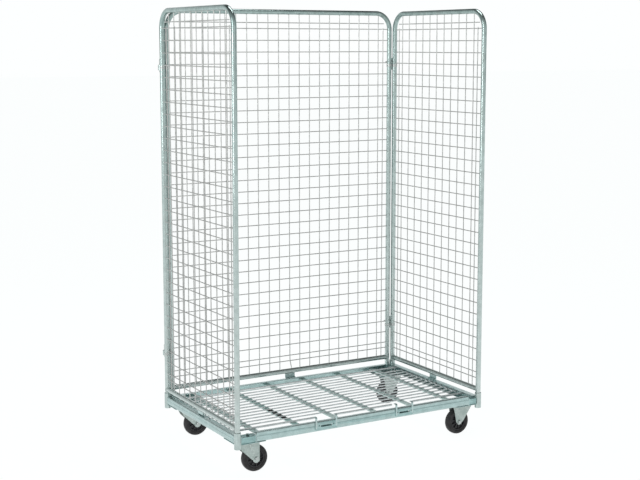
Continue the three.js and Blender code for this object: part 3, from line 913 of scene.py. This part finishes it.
def build_deck():
    low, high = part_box("deck_rods")
    places, rod_z = deck_rod_places()
    bars = [box_centre(f"cross_bar_{i}").x for i in CROSS_BARS]
    rods, spots = Shape(), Shape()
    for y in places:
        points = []
        for x in spaced(low.x, high.x, 10):
            bow = 0.6 * MM * noise.noise(Vector((x * 2.3, y * 31, 4.4)))
            points.append((x, y + bow, rod_z + 0.3 * bow))
        sweep(rods, points, DECK_ROD_RADIUS, 14)
        for x in bars:
            for side in (-12 * MM, 12 * MM):
                spot = (x + side, y, rod_z - DECK_ROD_RADIUS)
                blob(spots, spot, (2.4 * MM, 3.4 * MM, 1.3 * MM))
    make("deck_wires", rods, "platform", ROD, "deck_rods")
    flats = Shape()
    for side in (-1, 1):
        x0, x1 = (side * x for x in DECK_FLAT_X)
        outline = rectangle(x0, x1, low.y, high.y, 1.5 * MM, 3)
        plate(flats, outline, "Z", rod_z - 6 * MM, rod_z - 2.4 * MM)
    make("deck_end_flats", flats, "platform", ROD)
    edge_rods = ["front_edge_rod_left", "front_edge_rod_middle", "front_edge_rod_right"]
    for node in edge_rods + ["rear_edge_rod"]:
        low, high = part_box(node)
        radius = (high.z - low.z) / 2
        centre = (low + high) / 2
        profile = rod_profile(0, radius, low.x, high.x, 1.2 * MM)
        rod = lathe(Shape(), profile, (0, centre.y, centre.z), "X", 24)
        make(f"{node}_bar", rod, "platform", ROD, node)
        for x in bars:
            if low.x < x < high.x:
                for y in (centre.y - radius, centre.y + radius):
                    blob(spots, (x, y, low.z + 0.6 * MM), (9 * MM, 2.2 * MM, 1.8 * MM))
    make("deck_weld_spots", spots, "platform", ROD_WELD)


def build_slot_bracket(node):
    """A plate on the front rail with a slot between two holes and an ear bent back at each end."""
    low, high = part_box(node)
    middle = (low.x + high.x) / 2
    front, back = low.y, low.y + BRACKET_SHEET
    face_top = low.z + BRACKET_FACE_HEIGHT
    slot_z = low.z + BRACKET_SLOT_RISE
    outline = rectangle(low.x, high.x, low.z, face_top, 4 * MM, 5)
    face = plate(Shape(), outline, "Y", front, back, 0.8 * MM)
    piece = make(f"{node}_face", face, "platform", SHEET, node)
    cuts = [stadium(middle, slot_z, 52 * MM, 7 * MM)]
    for x in (middle - 33 * MM, middle + 33 * MM):
        cuts.append(arc((x, slot_z + 3 * MM), 3.1 * MM, 0, 348, 29))
    depth = (front - BRACKET_SHEET, back + BRACKET_SHEET)
    carve(piece, [extrude(Shape(), cut, "Y", *depth) for cut in cuts])

    # a closed cup behind the slot
    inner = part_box("front_rail")[0].y + RAIL_SHEET + 0.2 * MM
    line = [
        (inner, slot_z + 7 * MM), (inner + 11 * MM, slot_z + 7 * MM),
        (inner + 11 * MM, slot_z - 7 * MM), (inner, slot_z - 7 * MM)]
    outline = bent_sheet(line, 1.2 * MM, 2 * MM)
    cup = extrude(Shape(), outline, "X", middle - 31 * MM, middle + 31 * MM)
    make(f"{node}_cup", cup, "platform", SHEET)

    half = BRACKET_SHEET / 2
    line = [(front + half, low.z + 4 * MM), (front + half, high.z - half), (high.y, high.z - half)]
    outline = bent_sheet(line, BRACKET_SHEET + 0.1 * MM, 4.5 * MM)
    inset = 0.05 * MM
    for tag, start in (("a", low.x), ("b", high.x - BRACKET_EAR)):
        ear = extrude(Shape(), outline, "X", start + inset, start + BRACKET_EAR - inset)
        make(f"{node}_ear_{tag}", ear, "platform", SHEET)

    welds = Shape()
    y = back - 0.4 * MM
    ends = 14 * MM
    runs = [(x, low.z - 0.1 * MM, 6 * MM, 1.3 * MM) for x in (low.x + ends, middle, high.x - ends)]
    runs += [
        (x, face_top + 0.1 * MM, 7 * MM, 1.2 * MM) for x in (middle - 20 * MM, middle + 20 * MM)]
    for x, z, reach, size in runs:
        bead(welds, straight((x - reach, y, z), (x + reach, y, z), 8), size)
    make(f"{node}_welds", welds, "platform", SHEET_WELD)


def build_socket(place, low, high):
    centre = (low + high) / 2
    outer = (high.x - low.x) / 2
    inner, ease = SOCKET_BORE, 0.8 * MM
    hole = 5 * MM
    floor = low.z + 3 * MM
    profile = rod_profile(hole, outer, low.z, high.z, ease)[1:5]
    profile += [
        (inner + ease, high.z), (inner, high.z - ease), (inner, floor), (hole, floor),
        (hole, low.z)]
    socket = lathe(Shape(), profile, (centre.x, centre.y, 0))
    make(f"corner_socket_{place}", socket, "platform", SOCKET, f"socket_{place}")


def build_corner_bracket(place, centre, outer):
    """The plate over a castor, cut out round the socket."""
    sx, sy = PLACES[place]
    node = f"corner_bracket_{place}"
    low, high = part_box(node)
    top = low.z + 2.4 * MM
    x0, x1 = (low.x, high.x) if sx > 0 else (high.x, low.x)
    y0, y1 = (low.y, high.y) if sy > 0 else (high.y, low.y)
    notch_x = centre.x - sx * (outer + 1.2 * MM)
    notch_y = centre.y - sy * (outer + 1.2 * MM)
    corners = [(x0, y0), (x1, y0), (x1, notch_y), (notch_x, notch_y), (notch_x, y1), (x0, y1)]
    outline = filleted(corners, [6 * MM, 3 * MM, 2 * MM, 3 * MM, 2 * MM, 6 * MM])
    base = plate(Shape(), outline, "Z", low.z, top)
    make(f"corner_plate_{place}", base, "platform", SHEET, node)
    if sy < 0:
        build_corner_web(place, centre.x - sx * (outer - 0.6 * MM), low.z, top, high.z)


def build_corner_web(place, near, foot, base_top, head):
    """At the front: the bracket's web behind the rail, its skirt and the strip over the joint."""
    side = PLACES[place][0]
    rail_low, rail_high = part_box("front_rail")
    rail_end = rail_low.x if side < 0 else rail_high.x
    y = rail_low.y + RAIL_SHEET + GAP
    edge = rail_end + side * 3.2 * MM
    web_x = sorted((rail_end - side * 18 * MM, near))
    skirt_x = sorted((rail_end + side * GAP, near))
    strip_x = (edge - 2.6 * MM, edge + 2.6 * MM)
    slack = 0.02 * MM  # keeps the skirt's faces off the web's
    for name, outline, start, end in (
        ("web", rectangle(*web_x, base_top + 3.1 * MM, head, 3 * MM, 4), y, y + RAIL_SHEET),
        ("skirt", rectangle(*skirt_x, foot, head - 4 * MM, 2 * MM, 3),
         y - slack, y + RAIL_SHEET + slack),
        ("strip", rectangle(*strip_x, foot + 1 * MM, head + 5 * MM, 1 * MM, 3),
         y - 2.2 * MM, y + 0.2 * MM),
    ):
        part = plate(Shape(), outline, "Y", start, end)
        make(f"corner_{name}_{place}", part, "platform", SHEET)


def build_corner(place):
    sx, sy = PLACES[place]
    low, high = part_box(f"socket_{place}")
    centre = (low + high) / 2
    outer = (high.x - low.x) / 2
    build_socket(place, low, high)
    build_corner_bracket(place, centre, outer)
    rail_low, rail_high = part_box("left_rail")
    lean = math.radians(35)
    seams = [
        (-sx * outer * math.cos(lean), sy * outer * math.sin(lean), 1.6 * MM),
        (0, -sy * outer, 1.6 * MM),
        (sx * 2 * MM, -sy * outer, 1.8 * MM),
    ]
    welds = Shape()
    for dx, dy, size in seams:
        x, y = centre.x + dx, centre.y + dy
        bead(welds, straight((x, y, rail_low.z), (x, y, rail_high.z), 12), size)
    make(f"corner_welds_{place}", welds, "platform", SHEET_WELD)


# ---------- castors ----------


def fork_skin(centre_y, top, tip, span_at):
    """A fork pressed from one sheet: down one leg, over the crown and down the other.

    span_at(z) gives the sheet's first and last X at a height.
    """
    outer = FORK_HALF_INSIDE + FORK_SHEET
    bend = FORK_BEND
    line = []
    for share in spaced(0, 1, 26):
        line.append((-outer, tip + (top - bend - tip) * share**1.35, (-1, 0)))
    for k in range(1, 7):
        turn = math.pi - math.pi / 2 * k / 6
        out = (math.cos(turn), math.sin(turn))
        line.append((-outer + bend + bend * out[0], top - bend + bend * out[1], out))
    line += [(-y, z, (-out[0], out[1])) for y, z, out in line[::-1]]
    thick, ease = FORK_SHEET, 0.8 * MM
    corner = 0.25 * ease
    rings = []
    for y, z, out in line:
        x0, x1 = span_at(z)
        section = [
            (x0 + ease, 0), (x1 - ease, 0), (x1 - corner, corner), (x1, ease),
            (x1, thick - ease), (x1 - ease, thick), (x0 + ease, thick), (x0, thick - ease),
            (x0, ease), (x0 + corner, corner),
        ]
        rings.append([
            Vector((x, centre_y + y - out[0] * depth, z - out[1] * depth))
            for x, depth in section
        ])
    return Shape().rings(rings)


def span_between(front_line, back_line, axle, tip_radius):
    """The X span of a fork leg at a height, from its two edges and the tip round the axle."""

    def edge(line, z):
        for (xa, za), (xb, zb) in zip(line, line[1:]):
            if min(za, zb) <= z <= max(za, zb):
                return xa + (xb - xa) * (z - za) / (zb - za)
        return line[0][0] if z > line[0][1] else line[-1][0]

    def at(z):
        x0, x1 = edge(front_line, z), edge(back_line, z)
        drop = axle.z - z
        if drop > 0:
            half = math.sqrt(max(tip_radius**2 - drop**2, (0.3 * tip_radius) ** 2))
            x0, x1 = max(x0, axle.x - half), min(x1, axle.x + half)
        return x0, x1

    return at


def build_castor_plate(place, centre, top, node):
    """The plate under a corner and its four bolts, each with a washer, head, shank and nut."""
    low = top - CASTOR_PLATE
    half_x, half_y = CASTOR_PLATE_HALF
    outline = rectangle(
        centre.x - half_x, centre.x + half_x, centre.y - half_y, centre.y + half_y, 7 * MM, 5)
    body = plate(Shape(), outline, "Z", low, top, 0.8 * MM)
    make(f"castor_plate_{place}", body, "platform", CASTOR, node)
    bolts = Shape()
    washer = low - 1.4 * MM
    end, tip = low - 7.2 * MM, low - 7.9 * MM
    shank = [(0, tip), (3.4 * MM, tip), (4 * MM, end), (4 * MM, top + 4 * MM), (0, top + 4 * MM)]
    across, deep = CASTOR_BOLTS
    for dx in (-across, across):
        for dy in (-deep, deep):
            spot = Vector((centre.x + dx * MM, centre.y + dy * MM, 0))
            turn = (dx * 3 + dy) * 0.1
            lathe(bolts, rectangle(3 * MM, 8 * MM, washer, low), spot, segments=28)
            hexagon(bolts, spot, NUT_ACROSS, low - 6.6 * MM, washer, turn=turn)
            lathe(bolts, shank, spot, segments=20)
            hexagon(bolts, spot, NUT_ACROSS, top + 3 * MM, top + 8 * MM, turn=turn + 0.4)
    make(f"castor_bolts_{place}", bolts, "platform", BOLT)


def build_axle(place, body):
    node = f"axle_{place}"
    low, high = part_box(node)
    centre = (low + high) / 2
    half = (high.y - low.y) / 2
    fork_out = 21.2 * MM
    face = fork_out + 1.2 * MM
    axle = lathe(Shape(), rectangle(0, 6 * MM, -fork_out, fork_out), centre, "Y", 24)
    for sign in (-1, 1):
        ends = sorted((sign * fork_out, sign * (fork_out + 1.3 * MM)))
        lathe(axle, rectangle(3 * MM, 9 * MM, *ends), centre, "Y", 32)
    hexagon(axle, centre, 14.5 * MM, 0.4 * MM - half, -face, "Y", 0.3)
    hexagon(axle, centre, 14.5 * MM, face, half - 2.2 * MM, "Y", 0.7)
    end = half - 0.2 * MM
    stub = [
        (0, half - 2.4 * MM), (4.4 * MM, half - 2.4 * MM), (4.4 * MM, half - 0.9 * MM),
        (3.6 * MM, end), (0, end)]
    lathe(axle, stub, centre, "Y", 20)
    make(f"axle_bolt_{place}", axle, body, BOLT, node)


def build_tyre(place):
    low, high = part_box(f"tyre_{place}")
    radius = (high.z - low.z) / 2
    half = (high.y - low.y) / 2
    bore = 37 * MM
    shoulder = (radius - 3.4 * MM, half - 1.5 * MM)
    tread = [shoulder]
    for k in range(1, 12):
        share = 1 - 2 * k / 12
        tread.append((radius - 2.2 * MM * abs(share) ** 2.4, (half - 2.2 * MM) * share))
    tread.append((shoulder[0], -shoulder[1]))
    side = [
        (r, share * half) for r, share in (
            (bore, 0.82), (bore + 2 * MM, 0.86), (bore + 2.6 * MM, 0.95), (bore + 5 * MM, 0.99),
            (bore + 9 * MM, 1.0), (bore + 11.5 * MM, 0.985), (radius - 4.6 * MM, 0.95))
    ]
    profile = side + tread + [(r, -h) for r, h in side[::-1]]
    tyre = lathe(Shape(), profile, (low + high) / 2, "Y", 72)
    make(f"tread_{place}", tyre, f"wheel_{place}", TYRE, f"tyre_{place}")


def build_hub(place):
    low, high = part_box(f"hub_{place}")
    centre = box_centre(f"tyre_{place}")
    reach = (high.y - low.y) / 2
    rim = (high.z - low.z) / 2
    bore, boss = 6.3 * MM, 14 * MM
    side = [
        (bore, reach), (boss - 2 * MM, reach), (boss, reach - 1.5 * MM),
        (boss + 0.8 * MM, 5 * MM), (rim - 5 * MM, 4 * MM), (rim - 3.4 * MM, 11 * MM),
        (rim - 2.6 * MM, 12.4 * MM), (rim, 12.4 * MM),
    ]
    hub = lathe(Shape(), side + [(r, -h) for r, h in side[::-1]], centre, "Y", 56)
    start, end = boss - 1 * MM, rim - 3 * MM
    for turn in turns(HUB_RIBS):
        spin = Matrix.Rotation(turn, 3, "Y")
        for sign in (-1, 1):
            root, crest, peak = sign * 3.5 * MM, sign * 10 * MM, sign * 13 * MM
            outline = [(start, root), (end, root), (end, crest), (start, peak)]
            rib = plate(Shape(), outline, "Z", -1.3 * MM, 1.3 * MM, 0.5 * MM)
            hub.add([centre + spin @ v for v in rib.verts], rib.faces)
    make(f"wheel_centre_{place}", hub, f"wheel_{place}", HUB, f"hub_{place}")


def build_race(place, body, kingpin):
    low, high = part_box(f"swivel_race_{place}")
    z0, z1 = low.z, high.z
    height = z1 - z0
    rim = (high.x - low.x) / 2
    bore = 7 * MM
    groove = rim - 3.6 * MM
    profile = [
        (bore, z0), (rim - 5 * MM, z0), (rim - 3.2 * MM, z0 + 0.8 * MM),
        (rim - 2.6 * MM, z0 + 0.32 * height), (groove, z0 + 0.36 * height),
        (groove, z0 + 0.46 * height), (rim - 0.8 * MM, z0 + 0.5 * height),
        (rim, z0 + 0.62 * height), (rim, z1 - 0.8 * MM), (rim - 1.2 * MM, z1), (bore, z1),
    ]
    race = lathe(Shape(), profile, kingpin, segments=64)
    make(f"ball_race_{place}", race, body, CASTOR, f"swivel_race_{place}")


def build_kingpin(place, kingpin):
    """The swivel plate's riveted pin, with its domed head under the race."""
    low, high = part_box(f"swivel_plate_{place}")
    seat, end = low.z + 4 * MM, high.z - 1 * MM
    dome = [
        (0, low.z), (4.5 * MM, low.z + 0.3 * MM), (8 * MM, low.z + 1.3 * MM),
        (10 * MM, low.z + 3 * MM), (10 * MM, seat), (6 * MM, seat), (6 * MM, end), (0, end)]
    make(f"kingpin_{place}", lathe(Shape(), dome, kingpin, segments=36), "platform", CASTOR)


def build_swivel_castor(place):
    body = f"swivel_{place}"
    node = f"swivel_fork_{place}"
    axle = box_centre(f"axle_{place}")
    centre = box_centre(f"swivel_race_{place}")
    kingpin = (centre.x, centre.y, 0)
    plate_node = f"swivel_plate_{place}"
    build_castor_plate(place, centre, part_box(plate_node)[1].z, plate_node)
    build_race(place, body, kingpin)
    low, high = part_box(node)
    crown = high.z
    front_line = [
        (low.x, crown), (low.x + 0.5 * MM, crown - 14 * MM), (low.x + 8 * MM, 95 * MM),
        (axle.x - 15 * MM, 48 * MM), (axle.x - 15 * MM, low.z)]
    back_line = [(high.x, crown), (high.x, low.z)]
    span = span_between(front_line, back_line, axle, axle.z - low.z)
    make(f"fork_{place}", fork_skin(axle.y, crown, low.z, span), body, CASTOR, node)
    ribs = Shape()
    x = centre.x + 7 * MM
    for y in (axle.y - 21 * MM, axle.y + 21 * MM):
        path = [(x, y, crown - 8 * MM), (x + 9 * MM, y, 88 * MM), (axle.x - 1 * MM, y, 68 * MM)]
        sweep(ribs, path, [2.2 * MM, 1.8 * MM, 0.8 * MM], 12)
    make(f"fork_ribs_{place}", ribs, body, CASTOR)
    build_kingpin(place, kingpin)
    build_axle(place, body)


def build_fixed_castor(place):
    node = f"fixed_fork_{place}"
    low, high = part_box(node)
    axle = box_centre(f"axle_{place}")
    under = high.z - CASTOR_PLATE
    build_castor_plate(place, (low + high) / 2, high.z, node)
    front_line = [
        (low.x + 2 * MM, under), (low.x + 12 * MM, 112 * MM), (axle.x - 16 * MM, 57 * MM),
        (axle.x - 12 * MM, low.z)]
    back_line = [
        (high.x - 2 * MM, under), (high.x - 2 * MM, 119 * MM), (axle.x + 17 * MM, 52 * MM),
        (axle.x + 12 * MM, low.z)]
    span = span_between(front_line, back_line, axle, axle.z - low.z)
    make(f"fork_{place}", fork_skin(axle.y, under, low.z, span), "platform", CASTOR)
    build_axle(place, "platform")


# ---------- build ----------

for panel, pitch, count, inward in (
    (rear, REAR_WIRE_PITCH, REAR_WIRES, -1),
    (left, SIDE_WIRE_PITCH, SIDE_WIRES, 1),
    (right, SIDE_WIRE_PITCH, SIDE_WIRES, -1),
):
    build_frame(panel)
    build_wires(panel, pitch, count, inward)
    build_tab(panel, inward)
    build_bands(panel)
build_eyes(left)
build_eyes(right)
build_pins()
build_front_rail()
build_rear_rail()
build_side_rail("left_rail", -1)
build_side_rail("right_rail", 1)
build_cross_bars()
build_deck()
build_slot_bracket("slot_bracket_left")
build_slot_bracket("slot_bracket_right")
for place in PLACES:
    build_corner(place)
for place, build_castor in (
    ("front_left", build_swivel_castor),
    ("rear_left", build_swivel_castor),
    ("front_right", build_fixed_castor),
    ("rear_right", build_fixed_castor),
):
    build_castor(place)
    build_tyre(place)
    build_hub(place)


# ---------- studio ----------


def build_floor():
    reach = 60.0
    mesh = bpy.data.meshes.new("floor")
    mesh.from_pydata([(u, v, 0) for u, v in rectangle(-reach, reach, -reach, reach)], [],
                     [(0, 1, 2, 3)])
    floor = bpy.data.objects.new("floor", mesh)
    bpy.context.scene.collection.objects.link(floor)
    material, _, shader = new_material("floor", (0.08, 0.08, 0.08), 0.9, 0.0)
    shader.inputs["Specular IOR Level"].default_value = 0.0
    # a lit white table: it glows by itself, so that no lamp burns a patch into it
    shader.inputs["Emission Color"].default_value = (0.98, 1.0, 1.0, 1)
    shader.inputs["Emission Strength"].default_value = 0.97
    mesh.materials.append(material)


def area_light(name, place, target, size, power):
    light = bpy.data.lights.new(name, "AREA")
    light.shape = "RECTANGLE"
    light.size, light.size_y = size
    light.energy = power
    lamp = bpy.data.objects.new(name, light)
    lamp.location = place
    lamp.rotation_mode = "QUATERNION"
    lamp.rotation_quaternion = (Vector(target) - Vector(place)).to_track_quat("-Z", "Y")
    bpy.context.scene.collection.objects.link(lamp)


def build_world():
    """A studio, dimmer high up and to the sides, that is plain white where the camera sees it."""
    world = bpy.data.worlds.new("studio")
    bpy.context.scene.world = world
    world.use_nodes = True
    tree = world.node_tree
    direction = tree.nodes.new("ShaderNodeTexCoord").outputs["Generated"]
    split = tree.nodes.new("ShaderNodeSeparateXYZ")
    tree.links.new(direction, split.inputs["Vector"])
    height = split.outputs["Z"]
    ceiling = (0.035, 0.037, 0.037)
    beyond = ramp(tree, height, [
        (0.0, (0.95, 0.97, 0.97)), (0.30, (0.88, 0.90, 0.90)), (0.46, (0.34, 0.35, 0.35)),
        (0.66, ceiling), (1.0, ceiling)])
    near = ramp(tree, height, [
        (0.0, (0.86, 0.88, 0.88)), (0.45, (0.74, 0.76, 0.76)), (0.80, (0.36, 0.37, 0.37)),
        (1.0, ceiling)])
    facing = tree.nodes.new("ShaderNodeVectorMath")
    facing.operation = "DOT_PRODUCT"
    facing.inputs[1].default_value = (0.4984, 0.8537, 0.0)
    tree.links.new(direction, facing.inputs[0])
    depth = remap(tree, facing.outputs["Value"], 0.0, 1.0, -0.2, 0.2)
    both = blend_colour(tree, depth, near, beyond)
    size = tree.nodes.new("ShaderNodeMath")
    size.operation = "ABSOLUTE"
    tree.links.new(facing.outputs["Value"], size.inputs[0])
    sides = ramp(tree, size.outputs["Value"], [(0.1, (0.42, 0.43, 0.43)), (0.7, (1, 1, 1))])
    studio = blend_colour(tree, 1.0, both, sides, "MULTIPLY")
    rays = tree.nodes.new("ShaderNodeLightPath")
    seen = blend_colour(tree, rays.outputs["Is Camera Ray"], studio, (0.985, 1.0, 1.0, 1))
    background = tree.nodes["Background"]
    tree.links.new(seen, background.inputs["Color"])
    background.inputs["Strength"].default_value = 1.0


def build_camera():
    data = bpy.data.cameras.new("camera")
    data.sensor_width = 36
    data.lens = 72.14
    data.shift_y = -0.03
    data.clip_end = 200
    camera = bpy.data.objects.new("camera", data)
    camera.location = (-2.6872, -4.598, 1.6537)
    yaw, tilt = 0.5274, -0.1365
    camera.rotation_euler = (math.pi / 2 + tilt, 0, -yaw)
    bpy.context.scene.collection.objects.link(camera)
    bpy.context.scene.camera = camera


build_floor()
build_world()
area_light("overhead", (0.4, 0.2, 4.6), (0, 0, 0), (2.2, 1.4), 45)
area_light("left", (-5.0, -1.0, 2.2), (0, 0, 0.9), (0.7, 3.0), 60)
build_camera()
bpy.context.scene.view_settings.view_transform = "Standard"
